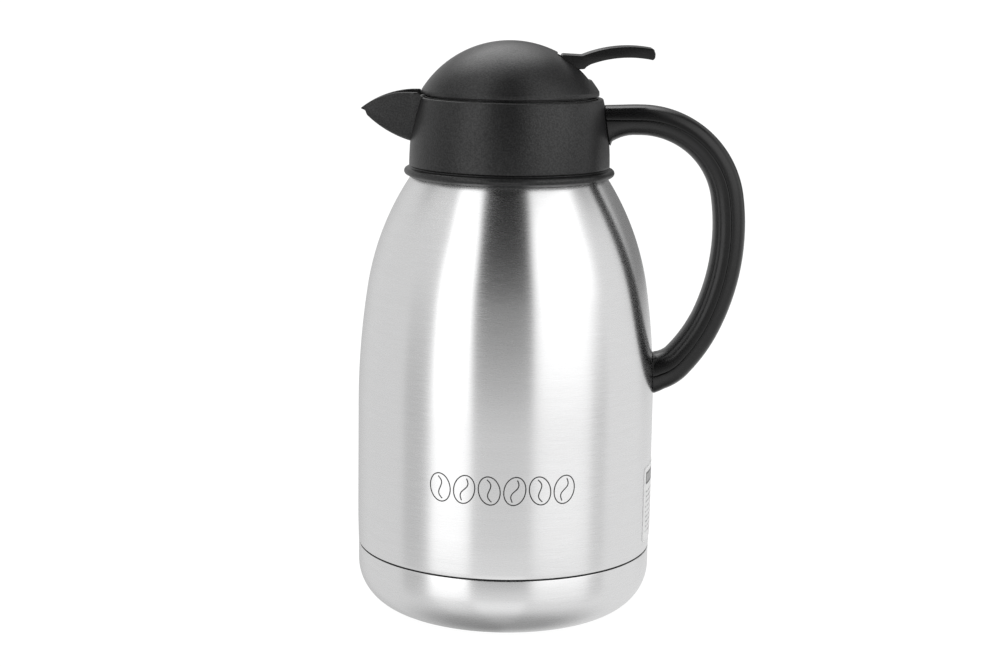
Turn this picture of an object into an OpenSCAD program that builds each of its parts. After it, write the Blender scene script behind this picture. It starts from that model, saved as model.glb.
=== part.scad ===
// Vacuum carafe with a lever lid: a double-wall steel flask, a moulded collar with a
// beak spout, a two-piece loop handle and a screw-in stopper whose valve opens when
// the thumb lever is pressed.
// Millimetres. The origin is the centre of the foot, on the flask axis. +Z is up,
// the spout points to -X and the handle to +X.

/* [Flask] */
// Outside diameter of the body at its widest
body_d = 150; // [147:1:153]
// Thickness of the outer steel sheet
shell_t = 0.6; // [0.5:0.1:0.8]
// Thickness of the inner steel sheet
flask_t = 0.5; // [0.4:0.1:0.6]
// Vacuum gap between the two steel walls
vacuum_gap = 7.9; // [7:0.1:9]
// Height of the seam between the base cup and the body
seam_z = 32.2; // [30:0.2:34]
// Outside diameter of the steel neck
neck_d = 77; // [76.4:0.2:77.2]

/* [Collar and spout] */
// Diameter of the collar at its lower edge
collar_d = 100.4; // [100:0.2:101]
// Length of the spout, from the flask axis to the tip
spout_reach = 74.5; // [72:0.5:76]
// Height of the spout rim where it leaves the collar
spout_top_z = 262.5; // [262:0.1:263]

/* [Handle] */
// Width of the handle
handle_w = 21; // [19:0.5:23]
// Depth of the handle section, from the finger side to the back
handle_t = 15.5; // [15:0.1:16]
// Wall thickness of the two handle mouldings
handle_wall = 2.4; // [2:0.1:2.6]

/* [Lid] */
// Radius of the dome
dome_r = 52; // [51.8:0.1:52.4]
// Wall thickness of the dome
dome_t = 2.2; // [2:0.1:2.4]
// Rise of the lid in one turn
thread_lead = 18; // [18:1:18]
// Width of the thumb lever
lever_w = 19.6; // [18:0.2:19.8]

/* [Hidden] */

$fn = 96;
fit = 0.02;                    // clearance between pieces that rest against each other
over = 0.5;                    // how far a cutting tool runs past the face it cuts

// Body outline, from the seam to the neck
body_r = body_d / 2;
foot_arc_r = 450;              // slight pull-in towards the seam
foot_arc_z = 52;
belly_arc_r = 400;             // long arc above the straight barrel
belly_arc_z = 105;
belly_a = 8.63;
shoulder_arc_r = 138;          // tighter arc up to the neck
shoulder_a = 36;
belly_x = body_r - belly_arc_r;
shoulder_x = belly_x + (belly_arc_r - shoulder_arc_r) * cos(belly_a);
shoulder_z = belly_arc_z + (belly_arc_r - shoulder_arc_r) * sin(belly_a);
seam_gap = 0.8;
shell_z = seam_z + seam_gap;

// Base cup and outer bottom
cup_corner_r = 23;
foot_flat_r = 51.6;
foot_inner_r = 44;
foot_recess = 2.2;
bottom_z = 26;                 // underside of the vacuum jacket's bottom
bottom_flange_z = 38;          // top of its flange, inside the shell
port_r = 1.2;                  // hole through which the jacket is pumped out

// Neck and mouth
neck_r = neck_d / 2;
neck_gap = 1;                  // between the two walls in the neck
mouth_z = 240;
shoulder_foot_z = 228.2;       // where the shoulder meets the neck
bead_z = 233.5;                // rolled bead that the collar snaps under
bead_r = 1.1;
flask_floor_z = 36;
flask_corner_r = 20;
flask_neck_r = neck_r - shell_t - neck_gap;
mouth_r = flask_neck_r - flask_t;

// Collar
collar_z = 225.8;
collar_top_z = 260;
collar_arc_r = 150;
collar_bore_r = 43.5;
collar_ledge_r = 39.2;
collar_ledge_z = 240.5;
collar_ledge_top = 243;
tongue_w = handle_w - 8;       // lug that the handle slides over
tongue_top = 252.3;
tongue_h = 5;
tongue_end = 63.5;

// Stopper thread: three starts, each a short ridge
starts = 3;
thread_pitch = thread_lead / starts;
thread_mid_z = 249.35;         // height of the stopper's ridges at the middle of a sector
ridge_half_a = 35;
ridge_root = 1.6;              // half height of a ridge at its root
ridge_tip = 1;                 // and at its tip
stopper_r = 41;

// Stopper
plug_z = 231;
plug_r = 34.4;
wall_t = 2.2;
flange_z = 243.1;
flange_t = 2.2;
deck_z = 257;
deck_t = 2.2;
seat_r = 9;                    // opening that the valve closes
guide_r = 2.54;                // bore that guides the valve rod
guide_z = 255.5;
guide_top = 262;
guide_outer_r = 5.4;

// Valve
rod_r = 2.5;
rod_head_z = 269.55;
rod_head_r = 5.6;
plug_top_z = 237.4;
seal_z = plug_z + wall_t;      // face that the valve seal rests on

// Spring, between the valve and the deck
spring_r = 5.9;                // mean radius of the coil
spring_wire_r = 0.45;
spring_turns = 6;

// Dome and lever
dome_z = 236;                  // centre of the dome's sphere
dome_rim_z = 261.2;
dome_edge_z = 263.4;
dome_rim_r = 44.3;
slot_w = 20.8;
slot_x = 23;
slot_end = 38.6;
slot_step_z = 268.9;           // flat step at the end of the slot
cheek_t = 2.5;
well_z = 262.8;
pivot_x = 28;
pivot_z = 274.5;
pin_r = 1.5;
pin_clearance = 0.04;
fork_z = 266.5;                // centre of the rounded fork tips
fork_r = 3;
lever_arc_x = 59;              // centre of the arched thumb plate
lever_arc_z = 224.1;
lever_arc_r = 62;
lever_t = 5.4;

// Handle centre line: a straight run, then four arcs turning down and back to the body
handle_z = 249.4;
handle_x = 48;
handle_run = 17.5;
handle_slim = 0.5;             // the section is shallower by this where it runs level
flare_x = 62;                  // and flares towards the collar from here
// Radius, degrees turned, and the extra depth of the section at the end of each arc
handle_arcs = [[44.3, 80.9, 0], [110.1, 33.1, 0], [78, 19, 0.5], [20, 30, 1.5]];
handle_split = 0.6;            // parting line, measured from the centre line
handle_gap = 0.1;              // groove between the two mouldings
handle_foot_z = 121.6;
handle_foot_half = 10;
handle_tab_z = 120.5;          // tab of the steel bracket inside the foot
bracket_t = 1;                 // plate of the bracket, against the body
handle_power = 2.6;            // roundness of the section
screw_x = [56, 79];
screw_head_z = [241.8, 113.9];
screw_head_h = 1.2;
screw_head_r = 2.9;
screw_r = 1.4;
screw_len = 9.6;

// Colours
steel = [0.78, 0.78, 0.79];
bright_steel = [0.86, 0.86, 0.87];
black = [0.13, 0.13, 0.135];
gloss_black = [0.08, 0.08, 0.085];
silicone = [0.85, 0.85, 0.82];
pale_plastic = [0.55, 0.55, 0.56];

// Outlines ------------------------------------------------------------------

// Points of an arc in a plane, n + 1 of them
function arc(x, z, r, from, to, n) =
    [for (i = [0:n]) let (a = from + (to - from) * i / n) [x + r * cos(a), z + r * sin(a)]];

// The same list of points from last to first
function reversed(points) = [for (i = [len(points) - 1:-1:0]) points[i]];

// Body outline pushed inwards by d, above height foot_arc_z
function upper_skin(d, end_a) = concat(
    [[body_r - d, foot_arc_z]],
    arc(belly_x, belly_arc_z, belly_arc_r - d, 0, belly_a, 5),
    arc(shoulder_x, shoulder_z, shoulder_arc_r - d, belly_a + 2.7, end_a, 9)
);

// Body outline pushed inwards by d, from the seam up
function body_skin(d) = concat(
    arc(body_r - foot_arc_r, foot_arc_z, foot_arc_r - d,
        -asin((foot_arc_z - shell_z) / foot_arc_r), -0.6, 3),
    upper_skin(d, shoulder_a)
);

// Outside radius of the body at height z, on the barrel and the belly
function body_r_at(z) =
    z < foot_arc_z ? body_r - foot_arc_r + sqrt(pow(foot_arc_r, 2) - pow(foot_arc_z - z, 2))
    : z < belly_arc_z ? body_r
    : belly_x + sqrt(pow(belly_arc_r, 2) - pow(z - belly_arc_z, 2));

// Outside radius of the shoulder at height z
function shoulder_r_at(z) = shoulder_x + sqrt(pow(shoulder_arc_r, 2) - pow(z - shoulder_z, 2));

// Outside radius of the collar at height z
function collar_r_at(z) =
    collar_d / 2 - collar_arc_r + sqrt(pow(collar_arc_r, 2) - pow(z - collar_z, 2));

// Solids swept through rings of points --------------------------------------

// Triangles between neighbouring rings: n rings of m points
function side_faces(n, m) = [
    for (i = [0:n - 2], j = [0:m - 1])
        let (a = i * m + j, b = i * m + (j + 1) % m)
            each [[a, b, b + m], [a, b + m, a + m]]
];

// Triangles that close a convex ring of m points
function fan_faces(m, first, flip) = [
    for (j = [1:m - 2]) flip ? [first, first + j + 1, first + j] : [first, first + j, first + j + 1]
];

// Triangles that close a U-shaped ring made of an outer row and an inner row
function channel_faces(m, first, flip) = [
    for (i = [0:m / 2 - 2])
        let (a = first + i, b = first + i + 1, c = first + m - 2 - i, d = first + m - 1 - i)
            each flip ? [[a, c, b], [a, d, c]] : [[a, b, c], [a, c, d]]
];

module sweep_convex(rings) {
    m = len(rings[0]);
    polyhedron(
        points = [for (ring = rings) each ring],
        faces = concat(side_faces(len(rings), m), fan_faces(m, 0, true),
                       fan_faces(m, (len(rings) - 1) * m, false))
    );
}

module sweep_channel(rings) {
    m = len(rings[0]);
    polyhedron(
        points = [for (ring = rings) each ring],
        faces = concat(side_faces(len(rings), m), channel_faces(m, 0, true),
                       channel_faces(m, (len(rings) - 1) * m, false))
    );
}

// One thread ridge per start, from radius root_r to tip_r, centred on height mid_z
module thread_ridges(root_r, tip_r, mid_z) {
    steps = 10;
    side = tip_r > root_r ? 1 : -1;
    for (k = [0:starts - 1])
        rotate([0, 0, k * 360 / starts])
            sweep_convex([
                for (i = [0:steps])
                    let (a = ridge_half_a * (2 * i / steps - 1),
                         z = mid_z + thread_lead * a / 360,
                         r = i == 0 || i == steps ? root_r + (tip_r - root_r) * 0.4 : tip_r)
                        [for (p = [[root_r, -ridge_root], [r, -ridge_tip], [r, ridge_tip],
                                   [root_r, ridge_root]])
                            [p[0] * cos(a), p[0] * sin(a), z + side * p[1]]]
            ]);
}

// Flask ---------------------------------------------------------------------

module outer_shell() {
    color(steel)
        rotate_extrude()
            polygon(concat(
                body_skin(0),
                [[neck_r + 0.5, shoulder_foot_z]],
                [[neck_r, shoulder_foot_z + 0.5]],
                arc(neck_r, bead_z, bead_r, -90, 90, 6),
                [[neck_r, mouth_z], [flask_neck_r, mouth_z], [flask_neck_r, mouth_z - shell_t]],
                [[neck_r - shell_t, mouth_z - shell_t]],
                [[neck_r - shell_t, shoulder_foot_z - shell_t]],
                reversed(body_skin(shell_t))
            ));
}

// Where the flask's outline, pushed in by d, reaches radius r
function neck_angle(d, r) = acos((r - shoulder_x) / (shoulder_arc_r - d));

module inner_flask() {
    d = shell_t + vacuum_gap;
    corner_x = body_r - d - flask_corner_r;
    corner_z = flask_floor_z + flask_corner_r;
    color(bright_steel)
        rotate_extrude()
            polygon(concat(
                [[0, flask_floor_z]],
                arc(corner_x, corner_z, flask_corner_r, -90, 0, 7),
                upper_skin(d, neck_angle(d, flask_neck_r)),
                [[flask_neck_r, mouth_z], [mouth_r, mouth_z]],
                reversed(upper_skin(d + flask_t, neck_angle(d + flask_t, mouth_r))),
                arc(corner_x, corner_z, flask_corner_r - flask_t, 0, -90, 7),
                [[0, flask_floor_z + flask_t]]
            ));
}

module outer_bottom() {
    r = body_r_at(seam_z) - shell_t - fit;
    corner_r = 5;
    color(bright_steel)
        rotate_extrude()
            polygon(concat(
                [[port_r, bottom_z]],
                arc(r - corner_r, bottom_z + corner_r, corner_r, -90, 0, 5),
                [[r, bottom_flange_z], [r - shell_t, bottom_flange_z]],
                arc(r - corner_r, bottom_z + corner_r, corner_r - shell_t, 0, -90, 5),
                [[port_r, bottom_z + shell_t]]
            ));
}

module vacuum_seal() {
    seal_h = 1.2;
    color([0.6, 0.6, 0.55])
        translate([0, 0, bottom_z - seal_h - fit])
            cylinder(h = seal_h, r = 4);
}

module getter() {
    getter_x = 24;
    color([0.5, 0.5, 0.52])
        translate([getter_x, 0, bottom_z + shell_t + fit])
            difference() {
                cylinder(h = 1.6, r = 6);
                translate([0, 0, 0.6])
                    cylinder(h = 2, r = 4.6);
            }
}

// Outline of the cup pushed inwards by d, from the foot to the seam
function cup_skin(d) = concat(
    [[foot_inner_r, d]],
    [[foot_flat_r - d * 0.1, d]],
    arc(body_r_at(seam_z) - cup_corner_r, cup_corner_r, cup_corner_r - d, -80, 0, 9),
    [[body_r_at(seam_z) - d, seam_z]]
);

module base_cup() {
    recess_r = foot_inner_r - foot_recess;
    color(steel)
        rotate_extrude()
            polygon(concat(
                [[0, foot_recess], [recess_r, foot_recess]],
                cup_skin(0),
                reversed(cup_skin(shell_t)),
                [[recess_r, foot_recess + shell_t], [0, foot_recess + shell_t]]
            ));
}

// Collar --------------------------------------------------------------------

module neck_ring() {
    bead_x = 50.9;
    bead_mid_z = 222.9;
    low_z = 220.2;
    seat_x = 46.3;
    color(black)
        rotate_extrude()
            polygon(concat(
                [for (z = [low_z:1.06:225.6]) [shoulder_r_at(z) + 0.05, z]],
                [[seat_x, collar_z - fit], [49.6, collar_z - fit], [50.2, 225]],
                reversed(arc(bead_x, bead_mid_z, 1.8, -60, 80, 9)),
                [[49.7, low_z]]
            ));
}

// Height of the spout rim at x
function rim_z(x) =
    let (rim_arc_r = 40.4, x0 = -49)
        spout_top_z - (x < x0 ? rim_arc_r - sqrt(pow(rim_arc_r, 2) - pow(x - x0, 2)) : 0);

// Height of the spout's keel at x: a long arc, a short steep nose, then the thin lip
function keel_z(x) =
    let (keel_r = 52, start_a = 16, start_z = 237.7, nose = 3.3, tip_t = 0.3, lip_slope = 1.2,
         t = max(0, -50 - x),
         long_arc = keel_r * (cos(start_a) - sqrt(1 - pow(sin(start_a) + t / keel_r, 2))),
         steep = pow(max(0, nose - spout_reach - x), 2),
         keel = start_z + long_arc + steep)
        steep > 0 ? min(keel, rim_z(x) - tip_t - lip_slope * (x + spout_reach)) : keel;

// Half width of the spout at x
function spout_half(x) = min(15, 0.8 + 14 * pow((x + spout_reach) / 26, 1.2));

// U-shaped cross-section of the spout at x, inset by d and raised to top_z
function spout_ring(x, d, top_z) =
    let (k = 5, w = max(0.25, spout_half(x) - d), low = keel_z(x) + d)
        [for (j = [-k:k])
            let (q = 1 - pow(1 - abs(j) / k, 2))
                [x, sign(j) * q * w, low + (top_z - low) * pow(q, 3.57)]];

module spout() {
    wall = 1.8;
    outer_x = concat([for (x = [-41:-4:-65]) x],
                     [for (d = [6, 4.6, 3.3, 2.7, 2.1, 1.1, 0.02]) d - spout_reach]);
    inner_x = [for (x = [-46.5:-4:-70.5]) x];
    difference() {
        sweep_convex([for (x = outer_x) spout_ring(x, 0, rim_z(x))]);
        sweep_convex([for (x = inner_x) spout_ring(x, wall, rim_z(x) + 3)]);
        translate([0, 0, 230])
            cylinder(h = 60, r = collar_bore_r + 1);
        translate([0, 0, collar_top_z])
            cylinder(h = 3.1, r1 = 45.7, r2 = 48.6);
    }
}

module collar() {
    snap_r = neck_r + 0.4;
    leg_r = collar_bore_r - 2;
    window_w = 18;
    window_z = [246.5, 255.5];
    color(black)
        difference() {
            union() {
                rotate_extrude()
                    polygon(concat(
                        [[46.4, collar_z]],
                        [for (z = [collar_z:3.3:258.9]) [collar_r_at(z), z]],
                        arc(collar_r_at(258.8) - 1.2, 258.8, 1.2, 20, 90, 4),
                        [[collar_bore_r + 0.5, collar_top_z], [collar_bore_r, collar_top_z - 0.5]],
                        [[collar_bore_r, collar_ledge_top], [collar_ledge_r, collar_ledge_top]],
                        [[collar_ledge_r, collar_ledge_z], [leg_r, collar_ledge_z]],
                        [[leg_r, 232], [snap_r, 231.6], [snap_r, 229.6], [43.6, 228.8]],
                        [[43.6, 240.8], [46.4, 240.8]]
                    ));
                thread_ridges(collar_bore_r + 0.6, collar_bore_r - 1.9,
                              thread_mid_z + thread_pitch / 2);
                spout();
                translate([46, -tongue_w / 2, tongue_top - tongue_h])
                    cube([tongue_end - 46, tongue_w, tongue_h]);
            }
            translate([-49, -window_w / 2, window_z[0]])
                cube([8, window_w, window_z[1] - window_z[0]]);
            translate([screw_x[0], 0, screw_head_z[0]])
                cylinder(h = screw_len + 0.1, r = screw_r + fit);
        }
}

module collar_seal() {
    color(silicone)
        rotate_extrude()
            translate([neck_r + fit, 236])
                square([collar_bore_r - 2 - neck_r - 2 * fit, collar_ledge_z - 236 - fit]);
}

// Handle --------------------------------------------------------------------

// Position and heading after the first n arcs, as [x, z, degrees turned]
function handle_point(n) =
    n == 0 ? [handle_x + handle_run, handle_z, 0]
    : let (p = handle_point(n - 1), r = handle_arcs[n - 1][0], a = p[2] + handle_arcs[n - 1][1])
        [p[0] + r * (sin(a) - sin(p[2])), p[1] + r * (cos(a) - cos(p[2])), a];

// Extra depth of the section after the first n arcs
function handle_extra(n) = n == 0 ? -handle_slim : handle_arcs[n - 1][2];

// Stations along the centre line: [x, z, heading, finger-side depth, back depth]
function handle_stations() =
    let (steps = [11, 4, 3, 3], level = handle_t / 2 - handle_slim)
        concat(
            [for (x = [handle_x:4:60])
                [x, handle_z, 0, level + handle_split + 3.4 * pow((flare_x - x) / 11, 2),
                 level - 0.04 * (flare_x - x)]],
            [for (k = [0:3], i = [1:steps[k]])
                let (p = handle_point(k), r = handle_arcs[k][0], t = i / steps[k],
                     a = p[2] + handle_arcs[k][1] * t,
                     depth = handle_t / 2 + handle_extra(k) * (1 - t) + handle_extra(k + 1) * t)
                    [p[0] + r * (sin(a) - sin(p[2])), p[1] + r * (cos(a) - cos(p[2])), a,
                     depth + handle_split, depth]],
            [[body_r, handle_foot_z, 180, handle_foot_half + handle_split, handle_foot_half]]
        );

// Half of a rounded section: depth on one side of the parting line, half width w
function half_section(depth, w, k) =
    [for (j = [-k:k])
        let (a = 90 * j / k)
            [sign(a) * w * pow(abs(sin(a)), 2 / handle_power),
             depth * pow(abs(cos(a)), 2 / handle_power)]];

// A section point at a station: y across, u towards the back of the handle.
// The two ends follow the collar and the body.
function handle_place(s, y, u, first, last) =
    let (x = s[0] + u * sin(s[2]), z = s[1] + u * cos(s[2]))
        first ? [sqrt(pow(collar_r_at(z), 2) - y * y) + 2 * fit, y, z]
        : last ? [sqrt(pow(body_r_at(z), 2) - y * y) + 2 * fit, y, z]
        : [x, y, z];

// Swept half of the handle; side is -1 for the finger side and 1 for the back
module handle_half(side, w, base) {
    stations = handle_stations();
    n = len(stations);
    k = 6;
    sweep_channel([
        for (i = [0:n - 1])
            let (s = stations[i], depth = side < 0 ? s[3] : s[4] - base,
                 outer = half_section(depth, w, k),
                 inner = half_section(depth - handle_wall, w - handle_wall, k),
                 ring = concat(outer, reversed(inner)))
                [for (p = side < 0 ? reversed(ring) : ring)
                    handle_place(s, p[0], base + side * p[1], i == 0, i == n - 1)]
    ]);
}

// Clears a screw's head and shank from below
module screw_cut(i, depth) {
    translate([screw_x[i], 0, screw_head_z[i] - depth])
        cylinder(h = screw_head_h + depth, r = screw_head_r + 0.3);
    translate([screw_x[i], 0, screw_head_z[i]])
        cylinder(h = screw_len, r = screw_r + 0.3);
}

module handle_grip() {
    color(gloss_black)
        difference() {
            handle_half(-1, handle_w / 2, handle_split);
            screw_cut(0, 3);
        }
}

module handle_cover() {
    boss_z = screw_head_z[1] + 0.7;
    color(gloss_black)
        difference() {
            union() {
                handle_half(1, handle_w / 2 - 0.4, handle_split + handle_gap);
                difference() {
                    translate([screw_x[1], 0, boss_z])
                        cylinder(h = handle_tab_z - fit - boss_z, r = 3.8);
                    translate([0, 0, boss_z - over])
                        cylinder(h = 10, r = body_r + bracket_t + 0.2);
                }
            }
            screw_cut(1, 4);
        }
}

module handle_bracket() {
    plate_z = [115.6:3.8:127];
    plate_half_a = 4;
    tab_t = 1.5;
    tab_w = 11;
    color(steel)
        difference() {
            union() {
                rotate([0, 0, -plate_half_a])
                    rotate_extrude(angle = 2 * plate_half_a)
                        polygon(concat(
                            [for (z = plate_z) [body_r_at(z) + fit, z]],
                            reversed([for (z = plate_z) [body_r_at(z) + fit + bracket_t, z]])
                        ));
                translate([body_r + bracket_t / 2, -tab_w / 2, handle_tab_z])
                    cube([84 - body_r - bracket_t / 2, tab_w, tab_t]);
            }
            translate([screw_x[1], 0, handle_tab_z - over])
                cylinder(h = tab_t + 2 * over, r = screw_r + fit);
        }
}

module handle_screws() {
    color(bright_steel)
        for (i = [0:1])
            translate([screw_x[i], 0, screw_head_z[i]])
                difference() {
                    union() {
                        cylinder(h = screw_head_h, r = screw_head_r);
                        cylinder(h = screw_len, r = screw_r);
                    }
                    for (a = [0, 90])
                        rotate([0, 0, a])
                            translate([-1.8, -0.35, -over])
                                cube([3.6, 0.7, over + 0.9]);
                }
}

module label() {
    label_z = [38.5:4.85:77.3];
    half_a = 21;
    color([0.95, 0.95, 0.95])
        rotate([0, 0, -half_a])
            rotate_extrude(angle = 2 * half_a)
                polygon(concat(
                    [for (z = label_z) [body_r_at(z) + fit, z]],
                    reversed([for (z = label_z) [body_r_at(z) + fit + 0.2, z]])
                ));
}

// Lid -----------------------------------------------------------------------

module ball(r) {
    translate([0, 0, dome_z])
        sphere(r = r, $fn = 128);
}

module lid_dome() {
    inner_r = dome_r - dome_t;
    cheek_y = slot_w / 2 + cheek_t;
    well_t = 1.4;
    color(black)
        difference() {
            union() {
                difference() {
                    union() {
                        intersection() {
                            ball(dome_r);
                            translate([0, 0, dome_edge_z])
                                cylinder(h = 40, r = dome_rim_r);
                        }
                        translate([0, 0, dome_rim_z])
                            cylinder(h = dome_edge_z - dome_rim_z, r = dome_rim_r);
                    }
                    intersection() {
                        ball(inner_r);
                        translate([0, 0, dome_rim_z - over])
                            cylinder(h = 40, r = dome_rim_r - dome_t);
                    }
                }
                intersection() {
                    ball(inner_r + 0.6);
                    union() {
                        translate([slot_x - 1, -cheek_y, well_z])
                            cube([20, 2 * cheek_y, 20]);
                        difference() {
                            translate([0, 0, 260.42])
                                cylinder(h = 6, r = stopper_r + 0.2);
                            translate([0, 0, 260])
                                cylinder(h = 7, r = stopper_r - 1.8);
                        }
                    }
                }
                snap_hooks();
            }
            translate([slot_x - 2, -slot_w / 2, well_z + well_t])
                cube([slot_end - slot_x + 2, slot_w, 279.5 - well_z - well_t]);
            translate([slot_x, -slot_w / 2, pivot_z])
                cube([slot_end - slot_x, slot_w, 20]);
            translate([slot_end - over, -slot_w / 2, slot_step_z])
                cube([5, slot_w, 20]);
            translate([pivot_x, 0, pivot_z])
                rotate([90, 0, 0])
                    cylinder(h = 25.8, r = pin_r + fit, center = true);
        }
}

// Three hooks that reach down from the dome through the deck
module snap_hooks() {
    hook_r = 36;
    for (a = [60, 180, 300])
        rotate([0, 0, a - 12])
            rotate_extrude(angle = 24)
                polygon([
                    [hook_r, 268], [hook_r, 255.2], [hook_r + 0.6, 254.4], [hook_r + 2.6, 256],
                    [hook_r + 2.6, 256.8], [hook_r + 1.6, 256.8], [hook_r + 1.6, 270]
                ]);
}

module stopper_body() {
    skirt_r = stopper_r - 2.4;
    inner_plug_r = plug_r - wall_t;
    top_r = collar_bore_r - 0.4;
    deck_top = deck_z + deck_t;
    color(black)
        difference() {
            union() {
                rotate_extrude()
                    polygon([
                        [seat_r, plug_z], [plug_r - 1, plug_z], [plug_r, plug_z + 1],
                        [plug_r, 238.2], [plug_r + 0.5, 238.8], [plug_r, 239.4],
                        [plug_r, flange_z], [stopper_r, flange_z], [stopper_r, 256.2],
                        [top_r - 0.6, 256.2], [top_r - 0.6, 256.8], [stopper_r, 256.8],
                        [stopper_r, deck_top], [top_r, deck_top], [top_r, 260.4],
                        [stopper_r + 0.4, 260.4], [stopper_r - 1.9, 260.4], [stopper_r - 1.9, deck_top],
                        [guide_outer_r, deck_top], [guide_outer_r, guide_top],
                        [4.35, guide_top], [4.35, 259.6], [guide_r, 259.6], [guide_r, guide_z],
                        [4.6, guide_z], [4.6, deck_z], [skirt_r, deck_z],
                        [skirt_r, flange_z + flange_t], [inner_plug_r, flange_z + flange_t],
                        [inner_plug_r, seal_z], [seat_r, seal_z]
                    ]);
                thread_ridges(stopper_r - 0.6, collar_bore_r - 0.4, thread_mid_z);
            }
            for (group = [60, 180, 300], step = [-1, 0, 1])
                rotate([0, 0, group + step * 10])
                    translate([skirt_r - 2, -2.2, 247])
                        cube([6, 4.4, 8]);
            for (a = [60, 180, 300])
                rotate([0, 0, a - 14])
                    rotate_extrude(angle = 28)
                        translate([35.7, deck_z - over])
                            square([2.6, deck_t + 2 * over]);
        }
}

module stopper_gasket() {
    color(silicone)
        rotate_extrude()
            polygon([
                [plug_r + 0.55, mouth_z + fit], [neck_r - 0.1, mouth_z + fit],
                [neck_r - 0.1, mouth_z + 0.6], [neck_r + 0.3, mouth_z + 1.5],
                [neck_r - 0.1, flange_z - 0.05],
                [plug_r + 0.05, flange_z - 0.05], [plug_r + 0.05, mouth_z + 1]
            ]);
}

module o_ring(inner_r, outer_r, z) {
    rotate_extrude()
        translate([(inner_r + outer_r) / 2, z])
            circle(r = (outer_r - inner_r) / 2, $fn = 32);
}

module upper_seal() {
    color(silicone)
        o_ring(stopper_r + 0.03, collar_bore_r - 0.1, 258);
}

module rod_seal() {
    color(silicone)
        o_ring(rod_r + 0.04, 4.3, 260.55);
}

module lever_pin() {
    color(bright_steel)
        translate([pivot_x, 0, pivot_z])
            rotate([90, 0, 0])
                cylinder(h = 25.4, r = pin_r, center = true);
}

// Side view of the lever outside the dome: hub block and arched thumb plate
function lever_outline() = concat(
    [[24.7, 280.9], [25.4, 281.7], [35, 281.3]],
    arc(lever_arc_x, lever_arc_z, lever_arc_r, 109.8, 79.6, 9),
    [[71, 282.8], [70.9, 280.8]],
    arc(lever_arc_x, lever_arc_z, lever_arc_r - lever_t, 78.8, 110.5, 9),
    [[37.2, 275.9], [36.3, 274.8], [33, 274.6], [31, 273], [26, 271]]
);

module lever() {
    arm_w = 11;
    rod_gap = 0.35;
    color(gloss_black)
        difference() {
            union() {
                rotate([90, 0, 0])
                    linear_extrude(height = lever_w, center = true)
                        union() {
                            polygon(lever_outline());
                            translate([pivot_x, pivot_z])
                                circle(r = 4.2, $fn = 48);
                        }
                rotate([90, 0, 0])
                    linear_extrude(height = arm_w, center = true)
                        union() {
                            polygon([
                                [0, fork_z + 2.1], [9, fork_z + 2.1], [24, 277], [29, 277],
                                [29, 271.4], [10, fork_z - fork_r], [0, fork_z - fork_r]
                            ]);
                            translate([0, fork_z])
                                circle(r = fork_r, $fn = 48);
                        }
            }
            translate([-5, -rod_r - rod_gap, fork_z - 10])
                cube([11, 2 * (rod_r + rod_gap), 20]);
            translate([pivot_x, 0, pivot_z])
                rotate([90, 0, 0])
                    cylinder(h = 30, r = pin_r + pin_clearance, center = true);
        }
}

// Valve ---------------------------------------------------------------------

module valve_rod() {
    color(bright_steel)
        rotate_extrude()
            polygon([
                [0, 233], [rod_r, 233], [rod_r, rod_head_z], [rod_head_r, rod_head_z],
                [rod_head_r, rod_head_z + 2.2], [rod_head_r - 0.8, rod_head_z + 3],
                [0, rod_head_z + 3]
            ]);
}

module valve_plug() {
    core_r = 5.4;
    bore_r = rod_r + fit;
    color(pale_plastic)
        rotate_extrude()
            polygon([
                [0, 231.6], [core_r + 0.9, 231.6], [core_r + 0.9, 232.6], [core_r, seal_z],
                [core_r, seal_z + 2 + 2 * fit], [11, seal_z + 2 + 2 * fit], [11, plug_top_z - 0.6],
                [10.4, plug_top_z], [5, plug_top_z], [5, plug_top_z + 2], [bore_r, plug_top_z + 2],
                [bore_r, 233 - fit], [0, 233 - fit]
            ]);
}

module valve_seal() {
    color(silicone)
        rotate_extrude()
            translate([5.4 + fit, seal_z + fit])
                square([6.2, 2]);
}

module valve_spring() {
    per_turn = 16;
    low = plug_top_z + spring_wire_r + fit;
    high = deck_z - spring_wire_r - fit;
    n = spring_turns * per_turn;
    m = 6;
    color(bright_steel)
        sweep_convex([
            for (i = [0:n])
                let (a = 360 * i / per_turn, z = low + (high - low) * i / n)
                    [for (j = [0:m - 1])
                        let (b = -360 * j / m, r = spring_r + spring_wire_r * cos(b))
                            [r * cos(a), r * sin(a), z + spring_wire_r * sin(b)]]
        ]);
}

outer_shell();
inner_flask();
outer_bottom();
vacuum_seal();
getter();
base_cup();
neck_ring();
collar();
collar_seal();
handle_grip();
handle_cover();
handle_bracket();
handle_screws();
label();
lid_dome();
stopper_body();
stopper_gasket();
upper_seal();
lever();
lever_pin();
valve_rod();
valve_plug();
valve_seal();
rod_seal();
valve_spring();
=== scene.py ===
from math import asin, cos, pi, radians, sin, sqrt, tan

import bmesh
import bpy
from mathutils import Matrix, Vector


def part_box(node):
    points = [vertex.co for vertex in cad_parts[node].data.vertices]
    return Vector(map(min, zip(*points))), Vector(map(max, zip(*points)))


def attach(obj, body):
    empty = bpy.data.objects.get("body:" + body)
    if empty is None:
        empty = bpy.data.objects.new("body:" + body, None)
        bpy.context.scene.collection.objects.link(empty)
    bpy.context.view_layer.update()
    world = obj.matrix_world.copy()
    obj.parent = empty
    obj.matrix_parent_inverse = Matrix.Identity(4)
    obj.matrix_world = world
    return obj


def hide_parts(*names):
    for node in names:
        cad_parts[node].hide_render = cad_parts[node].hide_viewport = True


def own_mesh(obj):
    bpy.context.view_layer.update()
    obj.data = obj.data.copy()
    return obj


# Looks for the vacuum carafe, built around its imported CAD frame. Lengths are millimetres until
# mesh_object() turns them into metres, and constants ending in _A are degrees. The axes are the
# frame's: +Z up, the spout towards -X, the handle towards +X and the camera towards -Y.

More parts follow.
